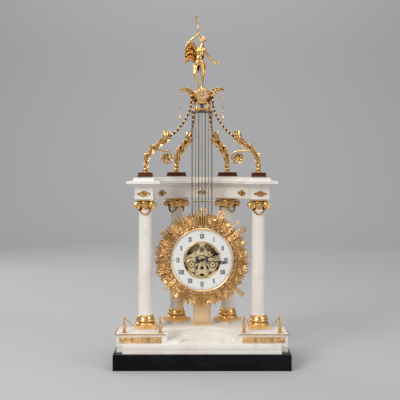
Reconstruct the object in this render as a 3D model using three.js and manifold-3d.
// Portico skeleton clock: a marble hemicycle of four columns carries scroll brackets and a crown,
// a gridiron pendulum hangs from the crown, and its sunburst swings around a fixed dial.
// Millimetres, +Z up, front towards -Y, origin at the centre of the underside of the plinth.
import * as THREE from "three";
import { mergeVertices } from "three/addons/utils/BufferGeometryUtils.js";
import Module from "manifold-3d";

const wasm = await Module();
wasm.setup();

// ---------------------------------------------------------------- driving dimensions
const gap = 0.3;                       // clearance between pieces that are cut to fit each other
const plinth = { width: 455, depth: 240, height: 41.4 };
const step = { height: 24.1, frontHalfWidth: 203, frontInset: 5.5, halfWidth: 221 };
const platform = {
  height: 23.9,
  frontY: -92.5,
  wingBackY: 1,
  backY: 118,
  rearHalfWidth: 125,
  courtRadius: 90.5,
  courtY: -95,
};
const court = { stepHeight: 4.5, stepRadius: 56 };
const axisY = 8;                       // plane in which the pendulum rods hang
const column = {
  front: { x: 150, y: -28.5, turn: 0 },
  rear: { x: 71, y: 77, turn: Math.PI / 4 },
  plate: 57,
  plateHeight: 11.5,
  footHeight: 27.5,
  bottomRadius: 18.8,
  topRadius: 17.2,
  shaftHeight: 277.6,
  capitalHeight: 27,
  abacus: 46,
  voluteSpan: 58,
};
const entablature = {
  centreY: -58.5,
  radius: 153,
  width: 49,
  frontY: -53,
  backY: 98.5,
  friezeHeight: 31,
  corniceHeight: 18,
  overhang: 19.5,
  atticHeight: 10.6,
  atticOverhang: 3,
};
const bracket = {
  plinth: 40,
  plinthHeight: 11,
  height: 92,
  frontReach: 61,
  rearReach: 53,
  thickness: 9,
  curl: { radius: 17, flower: 10.5, fromAxis: 5, rise: 40 },
};
const dial = { z: 270.4, y: -19, thickness: 3.8, innerRadius: 48.7, radius: 81.5, bezelRadius: 86.4 };
const drum = { radius: 66, wall: 3, frontY: -12.4, backY: 46, plate: 3, frontPlateY: -8 };
const pendulum = {
  pivotZ: 690,
  topZ: 668,
  footZ: 366,
  rodRadius: 1.5,
  rodPitch: 8.87,
  barZ: [424.5, 427.5],
};
const sun = { frontY: -7, backY: 5, innerRadius: 82.5, valleyRadius: 117, rayRadius: 138, rays: 24 };
const jewels = { radius: 90.5, depth: 4.4 };
const mount = {
  depth: 2.5,
  halfHeight: 8.4,
  frontHalfWidth: 19.5,
  middleHalfWidth: 14,
  returnHeading: 0.56,
};
const pillar = { width: 51, frontY: 20, depth: 34 };
const crownSize = {
  baseZ: 671, ringRadius: 21.5, domeRadius: 24.5, topRadius: 8, topZ: 732, armReach: 58,
  postHeadings: [0.8, 2.34, 3.94, 5.48],
};
const tassel = { length: 66, dropLength: 14, wireRadius: 0.9, dropRadius: 3 };
const figureTop = 923;

// ---------------------------------------------------------------- levels worked out from the above
const stepZ = plinth.height + step.height;
const platformZ = stepZ + platform.height;
const shaftZ = platformZ + column.plateHeight + column.footHeight;
const capitalZ = shaftZ + column.shaftHeight;
const friezeZ = capitalZ + column.capitalHeight;
const corniceZ = friezeZ + entablature.friezeHeight;
const atticZ = corniceZ + entablature.corniceHeight;
const roofZ = atticZ + entablature.atticHeight;
const domeZ = crownSize.topZ - Math.sqrt(crownSize.domeRadius ** 2 - crownSize.topRadius ** 2);
const ringInner = entablature.radius - entablature.width / 2;
const ringOuter = entablature.radius + entablature.width / 2;
const bandFacets = 12;
const sides = [["left", -1], ["right", 1]];

// ---------------------------------------------------------------- finishes
const finish = (color, roughness, metalness) => ({ color: new THREE.Color(color), roughness, metalness });
const finishes = {
  blackMarble: finish("#17151a", 0.15, 0),
  whiteMarble: finish("#dedbd3", 0.35, 0),
  gilt: finish("#d9a441", 0.3, 1),
  mattGilt: finish("#cf9f4c", 0.5, 1),
  brass: finish("#b89656", 0.3, 1),
  steel: finish("#6d6a66", 0.3, 1),
  enamel: finish("#f1f0ec", 0.15, 0),
  darkSteel: finish("#2a2725", 0.3, 1),
  paste: finish("#8f7c9c", 0.05, 0),
};

// ---------------------------------------------------------------- geometry helpers
// One closed solid with shared vertices and its faces turned outwards.
function closed(source) {
  const bare = source.clone();
  bare.deleteAttribute("normal");
  bare.deleteAttribute("uv");
  const geometry = mergeVertices(bare, 1e-4);
  const position = geometry.attributes.position;
  const index = Array.from(geometry.index.array);
  const corner = [0, 1, 2].map(() => new THREE.Vector3());
  const kept = [];
  let volume = 0;
  for (let i = 0; i < index.length; i += 3) {
    const [a, b, c] = index.slice(i, i + 3);
    if (a === b || b === c || c === a) continue;
    kept.push([a, b, c]);
    corner.forEach((point, k) => point.fromBufferAttribute(position, index[i + k]));
    volume += corner[0].dot(corner[1].clone().cross(corner[2]));
  }
  geometry.setIndex(kept.flatMap(([a, b, c]) => (volume < 0 ? [a, c, b] : [a, b, c])));
  return geometry;
}

function toSolid(source) {
  const geometry = closed(source);
  return new wasm.Manifold(new wasm.Mesh({
    numProp: 3,
    vertProperties: Float32Array.from(geometry.attributes.position.array),
    triVerts: Uint32Array.from(geometry.index.array),
  }));
}

function fromSolid(solid) {
  const mesh = solid.getMesh();
  const geometry = new THREE.BufferGeometry();
  geometry.setAttribute("position", new THREE.BufferAttribute(Float32Array.from(mesh.vertProperties), 3));
  geometry.setIndex(Array.from(mesh.triVerts));
  return geometry;
}

function join(...pieces) {
  return fromSolid(pieces.map(toSolid).reduce((whole, piece) => whole.add(piece)));
}

function cut(piece, ...tools) {
  return fromSolid(tools.map(toSolid).reduce((whole, tool) => whole.subtract(tool), toSolid(piece)));
}

// A box from its ranges along X, Y and Z.
function box([x0, x1], [y0, y1], [z0, z1]) {
  const geometry = new THREE.BoxGeometry(x1 - x0, y1 - y0, z1 - z0);
  return geometry.translate((x0 + x1) / 2, (y0 + y1) / 2, (z0 + z1) / 2);
}

// A turned piece about the vertical axis, from [radius, height] pairs.
function turned(profile, segments = 16) {
  const points = profile.map(([radius, height]) => new THREE.Vector2(radius, height));
  return new THREE.LatheGeometry(points, segments).rotateX(Math.PI / 2);
}

// A turned piece about an axis along Y through (x, z), from [radius, y] pairs.
function turnedAlongY(profile, x, z, segments = 14) {
  const points = profile.map(([radius, y]) => new THREE.Vector2(radius, y));
  return new THREE.LatheGeometry(points, segments).translate(x, 0, z);
}

// A flat plan outline (x, y) raised from z0 to z1.
function raised(shape, z0, z1, curveSegments = 12) {
  const geometry = new THREE.ExtrudeGeometry(shape, { depth: z1 - z0, bevelEnabled: false, curveSegments });
  return geometry.translate(0, 0, z0);
}

// A front outline (x, z) thickened from y0 to y1.
function thickened(shape, y0, y1, curveSegments = 12) {
  const geometry = new THREE.ExtrudeGeometry(shape, { depth: y1 - y0, bevelEnabled: false, curveSegments });
  return geometry.rotateX(Math.PI / 2).translate(0, y1, 0);
}

function rod(from, to, radius, sidesCount = 8) {
  const start = new THREE.Vector3(...from);
  const along = new THREE.Vector3(...to).sub(start);
  const geometry = new THREE.CylinderGeometry(radius, radius, along.length(), sidesCount);
  geometry.translate(0, along.length() / 2, 0);
  const turn = new THREE.Quaternion().setFromUnitVectors(new THREE.Vector3(0, 1, 0), along.normalize());
  return geometry.applyQuaternion(turn).translate(start.x, start.y, start.z);
}

function ball(x, y, z, radius, across = 12, down = 8) {
  return new THREE.SphereGeometry(radius, across, down).translate(x, y, z);
}

function tube(points, radius, steps, sidesCount = 8) {
  const path = new THREE.CatmullRomCurve3(points.map((point) => new THREE.Vector3(...point)));
  const section = new THREE.Shape();
  for (let i = 0; i < sidesCount; i += 1) {
    const angle = (i / sidesCount) * 2 * Math.PI;
    const at = [radius * Math.cos(angle), radius * Math.sin(angle)];
    if (i === 0) section.moveTo(...at);
    else section.lineTo(...at);
  }
  section.closePath();
  return new THREE.ExtrudeGeometry(section, { steps, extrudePath: path, bevelEnabled: false });
}

function circle(x, y, radius) {
  const path = new THREE.Path();
  path.absarc(x, y, radius, 0, 2 * Math.PI, false);
  return path;
}

function disc(x, y, radius, holes = []) {
  const shape = new THREE.Shape();
  shape.absarc(x, y, radius, 0, 2 * Math.PI, false);
  shape.holes.push(...holes);
  return shape;
}

// A band of changing width along a smooth line: points are [u, v, half width].
function ribbon(points, samples) {
  const line = new THREE.CatmullRomCurve3(points.map(([u, v, half]) => new THREE.Vector3(u, v, half)));
  const left = [];
  const right = [];
  for (let i = 0; i <= samples; i += 1) {
    const at = line.getPoint(i / samples);
    const along = line.getTangent(i / samples);
    const across = new THREE.Vector2(-along.y, along.x).normalize().multiplyScalar(at.z);
    left.push(new THREE.Vector2(at.x + across.x, at.y + across.y));
    right.unshift(new THREE.Vector2(at.x - across.x, at.y - across.y));
  }
  return new THREE.Shape([...left, ...right]);
}

const clock = new THREE.Group();

function part(name, geometry, look, parent = clock) {
  const mesh = new THREE.Mesh(closed(geometry), new THREE.MeshStandardMaterial(look));
  mesh.name = name;
  parent.add(mesh);
  return mesh;
}

// ---------------------------------------------------------------- plinth, step and platform
function addBase() {
  const halfWidth = plinth.width / 2;
  const halfDepth = plinth.depth / 2;
  const slab = new THREE.Shape();
  slab.moveTo(-halfWidth, -halfDepth);
  slab.lineTo(halfWidth, -halfDepth);
  slab.lineTo(halfWidth, halfDepth);
  slab.lineTo(-halfWidth, halfDepth);
  slab.closePath();
  part("black_plinth", raised(slab, 0, plinth.height), finishes.blackMarble);

  const frontY = -halfDepth + step.frontInset;
  const wings = (z0, z1) => join(
    box([-step.halfWidth, step.halfWidth], [platform.frontY, platform.wingBackY], [z0, z1]),
    box([-platform.rearHalfWidth, platform.rearHalfWidth], [platform.frontY, platform.backY], [z0, z1]),
  );
  const lower = join(
    box([-step.frontHalfWidth, step.frontHalfWidth], [frontY, platform.frontY + 1], [plinth.height, stepZ]),
    wings(plinth.height, stepZ),
  );
  part("marble_step", lower, finishes.whiteMarble);

  const courtCut = (radius, z0) => raised(disc(0, platform.courtY, radius), z0, platformZ + 1, 20);
  const upper = cut(
    wings(stepZ, platformZ),
    courtCut(court.stepRadius, stepZ - 1),
    courtCut(platform.courtRadius, stepZ + court.stepHeight),
  );
  part("marble_platform", upper, finishes.whiteMarble);
}

// ---------------------------------------------------------------- gilt mounts on the pedestals
const panel = { from: 104.5, to: 213, z0: stepZ + 1, z1: stepZ + 15.5, depth: 2 };
const post = { outerX: 201, innerX: 108, y: -83, base: 10.7, baseHeight: 16, height: 46.6, chain: 1.1 };

function addPedestalMounts() {
  for (const [side, sign] of sides) {
    const ends = [sign * panel.from, sign * panel.to].sort((a, b) => a - b);
    const plate = box(ends, [platform.frontY - panel.depth, platform.frontY], [panel.z0, panel.z1]);
    part(`frieze_panel_${side}`, plate, finishes.gilt);
    const pieces = [];
    for (const x of [sign * post.innerX, sign * post.outerX]) {
      const half = post.base / 2;
      pieces.push(box([x - half, x + half], [post.y - half, post.y + half],
        [platformZ, platformZ + post.baseHeight]));
      const spire = new THREE.CylinderGeometry(1.6, 6, post.height - post.baseHeight + 1, 4, 1);
      spire.rotateY(Math.PI / 4).rotateX(Math.PI / 2);
      spire.translate(x, post.y, platformZ + (post.baseHeight - 1 + post.height) / 2);
      pieces.push(spire);
    }
    const topZ = platformZ + post.height - 3;
    const footY = column.front.y - column.plate / 2 - post.chain - 1;
    const middle = [sign * column.front.x, footY, platformZ + 9];
    const swag = (x) => [
      [x, post.y, topZ],
      [x * 0.86 + middle[0] * 0.14, post.y * 0.86 + footY * 0.14, topZ - 14],
      [x * 0.62 + middle[0] * 0.38, post.y * 0.62 + footY * 0.38, topZ - 26],
      [x * 0.3 + middle[0] * 0.7, post.y * 0.3 + footY * 0.7, middle[2] + 3],
    ];
    const route = [...swag(sign * post.innerX), middle, ...swag(sign * post.outerX).reverse()];
    pieces.push(tube(route, post.chain, 20, 5));
    part(`gallery_${side}`, join(...pieces), finishes.gilt);
  }
}

// ---------------------------------------------------------------- columns
function footProfile(top) {
  return [
    [0, 0], [27.8, 0], [27.8, 4], [25.4, 7], [23.8, 10.5], [20.8, 13], [20.4, 16.5],
    [22.6, 19], [22.4, 22.5], [19.6, 24.5], [20.4, top], [0, top],
  ];
}

function columnCapital() {
  const half = column.abacus / 2;
  const span = column.voluteSpan / 2;
  const top = column.capitalHeight;
  const voluteRadius = 7.6;
  const voluteZ = top - 9 - voluteRadius;
  const pieces = [
    box([-half, half], [-half, half], [top - 7.5, top]),
    turned([[0, 0.1], [17.2, 0.1], [17.8, 6], [21, 12], [21, top - 5], [0, top - 5]]),
    box([-span + voluteRadius, span - voluteRadius], [-half + 1, half - 1], [voluteZ, top - 6.5]),
  ];
  for (const sign of [-1, 1]) {
    const volute = turnedAlongY([[0, -half + 2], [voluteRadius, -half + 2], [voluteRadius, half - 2],
      [0, half - 2]], sign * (span - voluteRadius), voluteZ, 14);
    pieces.push(volute);
  }
  return join(...pieces);
}

function addColumns() {
  const footTop = column.footHeight;
  const halfPlate = column.plate / 2;
  for (const row of ["front", "rear"]) {
    for (const [side, sign] of sides) {
      const stand = new THREE.Group();
      const { x, y, turn } = column[row];
      stand.position.set(sign * x, y, platformZ);
      stand.rotation.z = sign * turn;
      clock.add(stand);
      const name = `${row}_${side}`;
      const foot = join(
        box([-halfPlate, halfPlate], [-halfPlate, halfPlate], [0, column.plateHeight]),
        turned(footProfile(footTop)).translate(0, 0, column.plateHeight),
      );
      part(`column_foot_${name}`, foot, finishes.gilt, stand);
      const shaft = turned([
        [0, 0], [column.bottomRadius, 0], [column.bottomRadius, column.shaftHeight * 0.33],
        [column.topRadius, column.shaftHeight], [0, column.shaftHeight],
      ], 24);
      shaft.translate(0, 0, shaftZ - platformZ);
      part(`column_shaft_${name}`, shaft, finishes.whiteMarble, stand);
      const capital = columnCapital().translate(0, 0, capitalZ - platformZ);
      part(`column_capital_${name}`, capital, finishes.gilt, stand);
    }
  }
}

// ---------------------------------------------------------------- entablature
// Plan of the horseshoe band, made wider than the frieze by grow on every side.
function bandPlan(grow) {
  const inner = ringInner - grow;
  const outer = ringOuter + grow;
  const frontY = entablature.frontY - grow;
  const clip = Math.max(frontY - entablature.centreY, 0);
  const straightLegs = frontY < entablature.centreY;
  const outerStart = Math.asin(clip / outer);
  const innerStart = Math.asin(clip / inner);
  const shape = new THREE.Shape();
  if (straightLegs) shape.moveTo(outer, frontY);
  shape.absarc(0, entablature.centreY, outer, outerStart, Math.PI - outerStart, false);
  if (straightLegs) shape.lineTo(-outer, frontY);
  if (straightLegs) shape.lineTo(-inner, frontY);
  shape.absarc(0, entablature.centreY, inner, Math.PI - innerStart, innerStart, true);
  if (straightLegs) shape.lineTo(inner, frontY);
  shape.closePath();
  return shape;
}

function addEntablature() {
  const backY = entablature.backY;
  const behind = (grow) => box([-300, 300], [backY + grow, backY + 200], [friezeZ - 1, roofZ + 1]);
  const band = (grow, z0, z1) => cut(raised(bandPlan(grow), z0, z1, bandFacets), behind(grow));
  part("frieze_block", band(0, friezeZ, corniceZ), finishes.whiteMarble);
  const third = entablature.corniceHeight / 3;
  const cornice = join(
    band(entablature.overhang * 0.3, corniceZ, corniceZ + third),
    band(entablature.overhang * 0.62, corniceZ + third, corniceZ + 2 * third),
    band(entablature.overhang, corniceZ + 2 * third, atticZ),
    band(entablature.atticOverhang, atticZ, roofZ),
  );
  part("cornice", cornice, finishes.whiteMarble);
}

// Lozenge mounts of the frieze; each is flat against the marble face it is pinned to.
function lozenge(halfWidth, halfHeight, depth) {
  const shape = new THREE.Shape();
  shape.moveTo(-halfWidth, 0);
  shape.lineTo(0, -halfHeight);
  shape.lineTo(halfWidth, 0);
  shape.lineTo(0, halfHeight);
  shape.closePath();
  return thickened(shape, -depth, 0);
}

// A flat mount of this half width touches the hollow face of the band at its two tips.
function seatRadius(halfWidth) {
  const flats = ringInner * Math.cos(Math.PI / (3 * bandFacets));
  return Math.sqrt(flats ** 2 - halfWidth ** 2) - gap;
}

function addFriezeMounts() {
  const z = friezeZ + entablature.friezeHeight / 2;
  const { depth, halfHeight, frontHalfWidth, middleHalfWidth, returnHeading } = mount;
  for (const [side, sign] of sides) {
    const plate = lozenge(frontHalfWidth, halfHeight, depth);
    const onFront = part(`front_lozenge_${side}`, plate, finishes.gilt);
    onFront.position.set(sign * entablature.radius, entablature.frontY, z);
    const onReturn = part(`return_lozenge_${side}`, plate.clone(), finishes.gilt);
    const seat = seatRadius(frontHalfWidth);
    const across = seat * Math.cos(returnHeading);
    onReturn.position.set(sign * across, entablature.centreY + seat * Math.sin(returnHeading), z);
    onReturn.rotation.z = sign * (returnHeading - Math.PI / 2);
  }
  const middle = part("frieze_rosette", lozenge(middleHalfWidth, halfHeight, depth), finishes.gilt);
  middle.position.set(0, entablature.centreY + seatRadius(middleHalfWidth), z);
}

// ---------------------------------------------------------------- scroll brackets and stay rods
// Distance and heading of a column from the pendulum axis.
function spoke(row, sign) {
  const dx = sign * column[row].x;
  const dy = column[row].y - axisY;
  return { radius: Math.hypot(dx, dy), heading: Math.atan2(dy, dx) };
}

// Drawn in its own upright plane: u runs inwards from the column to the axis, v upwards.
function scrollBracket(reach, curled) {
  const half = bracket.plinth / 2;
  const base = bracket.plinthHeight;
  const depth = bracket.thickness / 2;
  const stem = ribbon([
    [0, base - 1, 5], [1, base + 9, 4], [0, base + 26, 5.5], [reach * 0.12, base + 46, 7],
    [reach * 0.33, base + 62, 7.5], [reach * 0.6, base + 75, 6.5], [reach * 0.88, base + 85, 6.5],
    [reach, base + 91, 3.5],
  ], 16);
  const pieces = [box([-half, half], [-half, half], [0, base]), thickened(stem, -depth, depth)];
  if (curled) pieces.push(...tendril(reach, base));
  return join(...pieces);
}

// The thin tendril that leaves the stem, curls round and ends in a flower.
function tendril(reach, base) {
  const { radius, flower, fromAxis, rise } = bracket.curl;
  const centre = [reach - fromAxis, base + rise];
  const around = [];
  for (let i = 0; i <= 5; i += 1) {
    const angle = 1.9 - i * 0.95;
    around.push([centre[0] + radius * Math.cos(angle), centre[1] + radius * Math.sin(angle), 2.6]);
  }
  const start = [[reach * 0.28, base + 56, 3], [reach * 0.55, base + 60, 2.6]];
  const link = [[...centre, 2.5], [centre[0] - radius * 0.5, centre[1] - 4, 2.5],
    [centre[0] - radius, centre[1] - 2, 2.5]];
  return [
    thickened(ribbon([...start, ...around], 22), -2.5, 2.5),
    turnedAlongY([[0, -3.5], [flower, -3.5], [flower, 3.5], [0, 3.5]], ...centre, 12),
    thickened(ribbon(link, 6), -2.4, 2.4),
  ];
}

function addBracketsAndStays() {
  for (const row of ["front", "rear"]) {
    const reach = row === "front" ? bracket.frontReach : bracket.rearReach;
    for (const [side, sign] of sides) {
      const { radius, heading } = spoke(row, sign);
      const stand = new THREE.Group();
      stand.position.set(sign * column[row].x, column[row].y, roofZ);
      stand.rotation.z = heading + Math.PI;
      clock.add(stand);
      part(`scroll_bracket_${row}_${side}`, scrollBracket(reach, row === "front"), finishes.gilt, stand);
      const leafZ = bracket.plinthHeight + bracket.height;
      const crownReach = radius - 28.5;
      const leafU = reach + 2.5;
      const leafV = leafZ + 2;
      const along = crownReach - leafU;
      const rise = pendulum.pivotZ + 20 - roofZ - leafV;
      const stay = tube([
        [leafU, 0, leafV], [leafU + along * 0.32, 0, leafV + rise * 0.14],
        [leafU + along * 0.58, 0, leafV + rise * 0.31], [leafU + along * 0.8, 0, leafV + rise * 0.5],
        [leafU + along * 0.95, 0, leafV + rise * 0.72], [crownReach, 0, leafV + rise],
      ], 3, 18);
      part(`stay_rod_${row}_${side}`, stay, finishes.gilt, stand);
    }
  }
}

// ---------------------------------------------------------------- crown and its two hanging tassels
function addCrown() {
  const { baseZ, ringRadius, domeRadius, topRadius, topZ, armReach } = crownSize;
  const dome = [];
  const turns = 5;
  const topAngle = Math.acos(topRadius / domeRadius);
  for (let i = 0; i <= turns; i += 1) {
    const angle = -0.35 + (topAngle + 0.35) * (i / turns);
    dome.push([domeRadius * Math.cos(angle), domeZ + domeRadius * Math.sin(angle)]);
  }
  const shell = dome.map(([radius, z]) => [Math.max(radius - 2.5, 0.01), z - 1.5]).reverse();
  const roof = [[0, topZ], [0, topZ - 4], [topRadius - 2.6, topZ - 4]];
  const cap = turned([...dome, ...roof, ...shell.slice(1), dome[0]]);
  cap.translate(0, axisY, 0);
  const ring = turned([[17, baseZ], [ringRadius, baseZ], [ringRadius + 1.5, baseZ + 3],
    [ringRadius, baseZ + 6], [17, baseZ + 6], [17, baseZ]]);
  ring.translate(0, axisY, 0);
  const pieces = [cap, ring];
  const post = (x, y) => rod([x, axisY + y, baseZ + 4], [x, axisY + y, domeZ - 5], 2.2, 6);
  for (const angle of crownSize.postHeadings) {
    pieces.push(post(20 * Math.cos(angle), 20 * Math.sin(angle)));
  }
  pieces.push(box([-21, 21], [axisY - 2.5, axisY + 2.5], [pendulum.pivotZ + 5, pendulum.pivotZ + 9]));
  pieces.push(rod([-20, axisY, baseZ + 4], [-20, axisY, domeZ - 5], 2.2, 6));
  pieces.push(rod([20, axisY, baseZ + 4], [20, axisY, domeZ - 5], 2.2, 6));
  pieces.push(ball(0, axisY - 15, domeZ + 3, 15.5, 12, 8));
  for (const sign of [-1, 1]) {
    const arm = ribbon([[sign * 20, domeZ - 4, 4], [sign * 31, domeZ + 4, 7], [sign * 36, domeZ + 14, 7],
      [sign * 44, domeZ + 22, 6], [sign * 52, domeZ + 23, 4], [sign * armReach, domeZ + 19, 2.5]], 12);
    pieces.push(thickened(arm, axisY - 3, axisY + 3));
  }
  part("crown", join(...pieces), finishes.gilt);
  for (const [side, sign] of sides) {
    const hook = domeZ + 16.2;
    const end = hook - tassel.length;
    const { wireRadius, dropRadius, dropLength } = tassel;
    const chain = turned([[0, end - dropLength], [dropRadius * 0.7, end - dropLength + 1],
      [dropRadius, end - dropLength * 0.55], [wireRadius, end], [wireRadius, hook], [0, hook]], 8);
    part(`tassel_${side}`, chain.translate(sign * armReach, axisY, 0), finishes.gilt);
  }
}

// ---------------------------------------------------------------- winged figure on the crown
function limb(from, to, radiusFrom, radiusTo) {
  const start = new THREE.Vector3(...from);
  const along = new THREE.Vector3(...to).sub(start);
  const length = along.length();
  const profile = [[0, 0], [radiusFrom * 0.8, 0], [radiusFrom, length * 0.25],
    [radiusTo, length * 0.9], [radiusTo * 0.7, length], [0, length]];
  const geometry = new THREE.LatheGeometry(profile.map(([r, h]) => new THREE.Vector2(r, h)), 6);
  const turn = new THREE.Quaternion().setFromUnitVectors(new THREE.Vector3(0, 1, 0), along.normalize());
  return geometry.applyQuaternion(turn).translate(start.x, start.y, start.z);
}

// Joints are [across, back from the axis, above the feet]; girths are [start, end] radii.
const genius = {
  standHeight: 2,
  standRadius: 7.8,
  head: { centre: [2, -1, 121], radius: 8 },
  neck: [-4, 0, 96],
  chest: [-6, -0.5, 92],
  waist: [-8, 0, 78],
  hips: [-8.5, 0, 65],
  legs: [
    [[1, -1, 64], [2, -3, 35], [2, 0, 0]],
    [[-15, 1, 64], [-19.5, -3, 37], [-12, 4, 0]],
  ],
  arms: [
    [[6, 0, 100], [18, -2, 82], [33, -8, 65]],
    [[-14, 0, 100], [-30, -2, 125], [-8.5, -6, 143]],
  ],
  thigh: [7, 4.6],
  shin: [4.9, 2.8],
  upperArm: [4.7, 3.3],
  foreArm: [3.4, 2.3],
  overlap: 0.06,
  wreath: { centre: [38, -8, 64], radius: 5 },
  trumpet: { mouth: [-6, -5, 131], radius: 1.8, bellX: -16, bellRadius: 4.6, bellLength: 8 },
  nearWing: [[-4, 84], [-5, 100], [-28, 110], [-41, 99], [-46, 80], [-40, 60], [-26, 64], [-14, 76]],
  farWing: [[-10, 84], [-7, 100], [8, 107], [14, 96], [15, 78], [10, 62], [4, 64], [-2, 76]],
  wingBehind: 3.5,
  wingThickness: 3,
};

function addFigure() {
  const footZ = crownSize.topZ + genius.standHeight;
  const at = ([x, back, height]) => [x, axisY + back, footZ + height];
  const mass = (centre, radii) => ball(0, 0, 0, 1, 8, 6).scale(...radii).translate(...at(centre));
  const stand = turned([[0, 0], [genius.standRadius, 0], [genius.standRadius - 0.6, 3], [0, 3]], 12);
  const headSize = genius.head.radius;
  const pieces = [
    stand.translate(0, axisY + 1, crownSize.topZ),
    mass(genius.head.centre, [headSize, headSize, headSize]),
    mass(genius.chest, [11.4, 7.8, 13]),
    mass(genius.waist, [9, 7, 10]),
    mass(genius.hips, [13, 8.6, 9.5]),
    limb(at(genius.neck), at([1, -1, 118]), 4.4, 3.6),
    mass(genius.wreath.centre, [6, 3.4, 6]),
  ];
  const bent = ([root, joint, end], upper, lower) => {
    const lift = (end[2] - root[2]) * genius.overlap;
    pieces.push(limb(at(root), at(joint), ...upper));
    pieces.push(limb(at([joint[0], joint[1], joint[2] - lift]), at(end), ...lower));
  };
  genius.legs.forEach((leg) => bent(leg, genius.thigh, genius.shin));
  genius.arms.forEach((arm) => bent(arm, genius.upperArm, genius.foreArm));
  const { mouth, radius, bellX, bellRadius, bellLength } = genius.trumpet;
  const bellY = axisY - 8;
  pieces.push(limb(at(mouth), [bellX, bellY, figureTop - 3], radius, radius));
  pieces.push(rod([bellX, bellY, figureTop - bellLength], [bellX, bellY, figureTop], bellRadius, 8));
  for (const outline of [genius.nearWing, genius.farWing]) {
    const wing = new THREE.Shape(outline.map(([x, height]) => new THREE.Vector2(x, footZ + height)));
    const back = axisY + genius.wingBehind;
    pieces.push(thickened(wing, back, back + genius.wingThickness));
  }
  part("winged_figure", join(...pieces), finishes.gilt);
}

// ---------------------------------------------------------------- fixed dial and movement
const arbors = {
  centre: [0, 0],
  going: [-28.5, -12.5],
  strike: [28.5, -12.5],
  intermediate: [-0.23, -18],
  third: [-10.3, 14.76],
  escape: [0, 27],
  anchor: [0, 46],
  warning: [33.5, 15.86],
};
const teeth = {
  module: 0.6,
  fineModule: 0.5,
  slimModule: 0.4,
  barrel: 84,
  pinion: 12,
  intermediate: 60,
  centre: 64,
  third: 72,
};

// A wheel, its pinion and its arbor, from [y start, y end, radius] stages between the plates.
function arborPiece([x, z], arborRadius, from, to, stages) {
  const profile = [[0, from], [arborRadius, from]];
  for (const [start, end, radius] of stages) {
    profile.push([arborRadius, start], [radius, start], [radius, end], [arborRadius, end]);
  }
  profile.push([arborRadius, to], [0, to]);
  return turnedAlongY(profile, x, dial.z + z);
}

function addMovementFrame() {
  const { radius, wall, frontY, backY, plate, frontPlateY } = drum;
  const flange = dial.radius - 1.5;
  const flangeY = dial.y + dial.thickness + 0.1;
  const shell = turnedAlongY([[radius - wall, flangeY], [flange, flangeY], [flange, frontY],
    [radius, frontY], [radius, backY], [radius - wall, backY], [radius - wall, flangeY]], 0, dial.z, 32);
  part("movement_drum", shell, finishes.brass);

  const fit = radius - wall - gap;
  const hole = ([x, z], size) => circle(x, z, size);
  const windows = [[0, 41, 7], [-24, 29, 9], [24, 29, 9], [0, -38, 12], [-39, 8, 7], [39, 8, 7],
    [-26, -40, 7], [26, -40, 7]];
  const holes = [
    hole(arbors.centre, 8), hole(arbors.going, 9.5), hole(arbors.strike, 9.5), hole([0, 22], 7),
    ...windows.map(([x, z, size]) => circle(x, z, size)),
  ];
  const front = thickened(disc(0, 0, fit, holes), frontPlateY, frontPlateY + plate, 8);
  part("front_plate", front.translate(0, 0, dial.z), finishes.gilt);
  const backHoles = [hole(arbors.anchor, 4)];
  const back = thickened(disc(0, 0, fit, backHoles), backY - 1 - plate, backY - 1, 10);
  part("back_plate", back.translate(0, 0, dial.z), finishes.brass);

  const ring = turnedAlongY([[dial.innerRadius, dial.y], [dial.radius, dial.y],
    [dial.radius, dial.y + dial.thickness], [dial.innerRadius, dial.y + dial.thickness],
    [dial.innerRadius, dial.y]], 0, dial.z, 40);
  part("enamel_dial", ring, finishes.enamel);
  const inside = dial.radius + gap;
  const bezel = turnedAlongY([[inside, dial.y - 2], [dial.bezelRadius - 2, dial.y - 2.4],
    [dial.bezelRadius, dial.y], [dial.bezelRadius, frontY], [inside, frontY], [inside, dial.y - 2]],
  0, dial.z, 40);
  part("dial_bezel", bezel, finishes.gilt);

  const halfWidth = pillar.width / 2;
  const shaft = box([-halfWidth, halfWidth], [pillar.frontY, pillar.frontY + pillar.depth],
    [platformZ, dial.z - radius * 0.6]);
  const seat = turnedAlongY([[0, frontY], [radius + gap, frontY], [radius + gap, backY + 20],
    [0, backY + 20]], 0, dial.z, 40);
  part("support_pillar", cut(shaft, seat), finishes.mattGilt);
}

function addTrain() {
  const pitch = (count, size) => (count * size) / 2;
  const barrelWheel = pitch(teeth.barrel, teeth.module);
  const pinion = pitch(teeth.pinion, teeth.module) - 0.6;
  const finePinion = pitch(teeth.pinion, teeth.fineModule) - 0.5;
  const backOfTrain = drum.backY - 1 - drum.plate - gap;
  const winding = -13.5;
  const barrelStages = [[-12.5, -11, 7.5], [4, 7, barrelWheel - 0.5], [8, 30, 22]];
  part("going_barrel", arborPiece(arbors.going, 3, winding, backOfTrain, barrelStages), finishes.brass);
  part("strike_barrel", arborPiece(arbors.strike, 3, winding, backOfTrain, barrelStages), finishes.brass);
  const between = drum.frontPlateY + drum.plate + gap;
  part("intermediate_wheel", arborPiece(arbors.intermediate, 1.5, between, backOfTrain,
    [[3.5, 7.5, pinion], [33, 35, pitch(teeth.intermediate, teeth.fineModule) - 0.5]]), finishes.brass);
  part("centre_wheel", arborPiece(arbors.centre, 2.2, -24, backOfTrain,
    [[32.5, 35.5, finePinion], [37, 39, pitch(teeth.centre, teeth.fineModule) - 0.5]]), finishes.brass);
  part("third_wheel", arborPiece(arbors.third, 1, between, backOfTrain,
    [[0, 2, pitch(teeth.third, teeth.slimModule) - 0.5], [36.5, 39.5, 1.5]]), finishes.brass);
  part("escape_wheel", arborPiece(arbors.escape, 0.9, between, backOfTrain,
    [[-0.5, 2.5, 1.3], [14, 16, 11.2]]), finishes.brass);
  part("strike_wheel", arborPiece(arbors.warning, 1.5, between, backOfTrain,
    [[3.5, 7.5, pinion], [33, 35, 18]]), finishes.brass);
}

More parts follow.
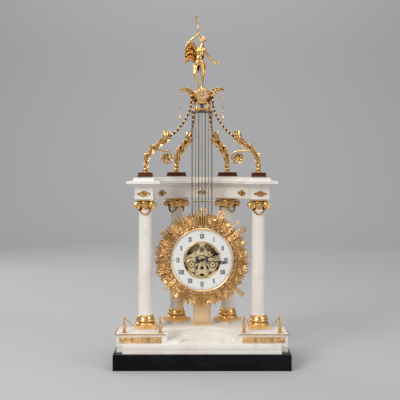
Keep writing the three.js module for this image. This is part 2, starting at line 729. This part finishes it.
// Anchor, its arbor, and the crutch that reaches up behind the dial to fork the middle rod.
const crutch = { topZ: 396, y: drum.backY + 4, forkX: 4.3 };

function addAnchor() {
  const [x, z] = [arbors.anchor[0], dial.z + arbors.anchor[1]];
  const arms = ribbon([[-10.2, z - 10.2, 1.1], [-8.5, z - 3, 1.6], [0, z, 2.4], [8.5, z - 3, 1.6],
    [10.2, z - 10.2, 1.1]], 16);
  const { topZ, y, forkX } = crutch;
  const pieces = [
    thickened(arms, 14, 16),
    rod([x, -4.5, z], [x, y + 2, z], 1.2),
    box([-1.5, 1.5], [y - 1.2, y + 1.2], [z - 4, topZ]),
    box([-forkX - 1, forkX + 1], [y - 1.2, y + 1.2], [topZ - 2, topZ + 2]),
  ];
  for (const sign of [-1, 1]) {
    pieces.push(rod([sign * forkX, y, topZ], [sign * forkX, axisY - 2, topZ], 1, 6));
  }
  part("anchor_and_crutch", join(...pieces), finishes.steel);
}

function addBellAndHammer() {
  const rimY = 58;
  const radius = 30;
  const outer = [];
  const inner = [];
  const rings = 4;
  for (let i = 0; i <= rings; i += 1) {
    const angle = (i / rings) * (Math.PI / 2) * 0.93;
    outer.push([radius * Math.cos(angle), rimY + 24 * Math.sin(angle)]);
    inner.unshift([(radius - 2) * Math.cos(angle), rimY + 22 * Math.sin(angle)]);
  }
  const stand = turnedAlongY([[0, drum.backY - 1], [4, drum.backY - 1], [4, rimY + 25], [0, rimY + 25]],
    0, dial.z, 10);
  const shell = turnedAlongY([...outer, ...inner, outer[0]], 0, dial.z, 18);
  part("bell", join(shell, stand), finishes.brass);
  const pivot = [30, dial.z - 38];
  const head = [37.5, dial.z + 1];
  const hammer = join(
    rod([pivot[0], drum.backY, pivot[1]], [pivot[0], rimY + 8, pivot[1]], 1.6),
    rod([pivot[0], rimY + 4, pivot[1]], [head[0], rimY + 4, head[1]], 1.3),
    turnedAlongY([[0, rimY - 1], [4, rimY - 1], [4, rimY + 9], [0, rimY + 9]], head[0], head[1], 10),
  );
  part("hammer", hammer, finishes.steel);
}

// Hands set to about sixteen minutes past two. An angle is measured clockwise from twelve.
function hand(length, tail, halfWidth, eye, y, hours) {
  const outline = ribbon([[0, -tail, halfWidth], [0, 0, halfWidth * 1.1], [0, length * 0.6, halfWidth],
    [0, length * 0.78, halfWidth * 2.2], [0, length * 0.88, halfWidth], [0, length, 0.35]], 9);
  const blade = thickened(outline, y, y + 1);
  const boss = turnedAlongY([[0, y], [eye, y], [eye, y + 1], [0, y + 1]], 0, 0, 12);
  const bore = turnedAlongY([[0, y - 1], [2.2 + gap, y - 1], [2.2 + gap, y + 2], [0, y + 2]], 0, 0, 14);
  const piece = cut(join(blade, boss), bore);
  return piece.rotateY((hours / 12) * 2 * Math.PI).translate(0, 0, dial.z);
}

const time = { hour: 2.27, minute: 3.2 };

function addHands() {
  part("minute_hand", hand(72, 16, 1.1, 4, dial.y - 3.4, time.minute), finishes.darkSteel);
  const pipe = turnedAlongY([[2.2 + gap, dial.y - 1.4], [5, dial.y - 1.4], [5, -9.5], [11, -9.5],
    [11, -8.5], [2.2 + gap, -8.5], [2.2 + gap, dial.y - 1.4]], 0, dial.z, 14);
  part("hour_hand", join(hand(54, 12, 1.3, 5.5, dial.y - 1.8, time.hour), pipe), finishes.darkSteel);
}

// ---------------------------------------------------------------- pendulum
function addGridiron() {
  const { pivotZ, topZ, footZ, rodRadius, rodPitch, barZ } = pendulum;
  const halfBar = 3 * rodPitch + rodRadius + 0.8;
  const depth = [axisY - 2, axisY + 2];
  const steel = [
    box([-halfBar, halfBar], depth, [topZ - 4, topZ]),
    box([-halfBar, halfBar], [sun.backY, axisY + 2], [footZ, footZ + 6]),
    box([-3, 3], [axisY - 1, axisY + 1], [topZ - 1, pivotZ + 1]),
    rod([0, axisY - 6, pivotZ], [0, axisY + 6, pivotZ], 2.2),
  ];
  const brass = [box([-halfBar, halfBar], [axisY - rodRadius - 3, axisY - rodRadius - gap], barZ)];
  for (let i = -3; i <= 3; i += 1) {
    const x = i * rodPitch;
    if (i % 2 !== 0) {
      steel.push(rod([x, axisY, footZ + 2], [x, axisY, topZ - 2], rodRadius, 10));
    } else {
      brass.push(rod([x, axisY, footZ + 6 + gap], [x, axisY, topZ - 4 - gap], rodRadius, 10));
      brass.push(box([x - 1, x + 1], [axisY - rodRadius - 1, axisY], barZ));
    }
  }
  part("gridiron_steel", join(...steel), finishes.steel);
  part("gridiron_brass", join(...brass), finishes.brass);
}

// Ray lengths repeat every quarter turn: longest on the diagonals.
function rayRadius(index) {
  const onDiagonal = index % 6 === 3;
  const sway = Math.sin(index * 2.4) * 5;
  return sun.rayRadius + sway + (onDiagonal ? 5 : 0);
}

function addSunburst() {
  const outline = [];
  const half = Math.PI / sun.rays;
  for (let i = 0; i < sun.rays; i += 1) {
    const angle = i * 2 * half;
    const tip = rayRadius(i);
    outline.push([tip, angle - half * 0.35], [tip * 0.99, angle + half * 0.35]);
    outline.push([sun.valleyRadius, angle + half]);
  }
  const corners = outline.map(([r, a]) => new THREE.Vector2(r * Math.sin(a), r * Math.cos(a)));
  const shape = new THREE.Shape(corners);
  shape.holes.push(circle(0, 0, sun.innerRadius));
  const plate = thickened(shape, sun.frontY, sun.backY, 24).translate(0, 0, dial.z);
  part("sunburst", plate, finishes.mattGilt);
  const front = sun.frontY - jewels.depth;
  const ring = turnedAlongY([[sun.innerRadius, front + 1.4], [sun.innerRadius + 2, front],
    [jewels.radius - 2, front], [jewels.radius, front + 1.4], [jewels.radius, sun.frontY],
    [sun.innerRadius, sun.frontY], [sun.innerRadius, front + 1.4]], 0, dial.z, 36);
  part("jewel_ring", ring, finishes.paste);
}

addBase();
addPedestalMounts();
addColumns();
addEntablature();
addFriezeMounts();
addBracketsAndStays();
addCrown();
addFigure();
addMovementFrame();
addTrain();
addAnchor();
addBellAndHammer();
addHands();
addGridiron();
addSunburst();

export default clock;
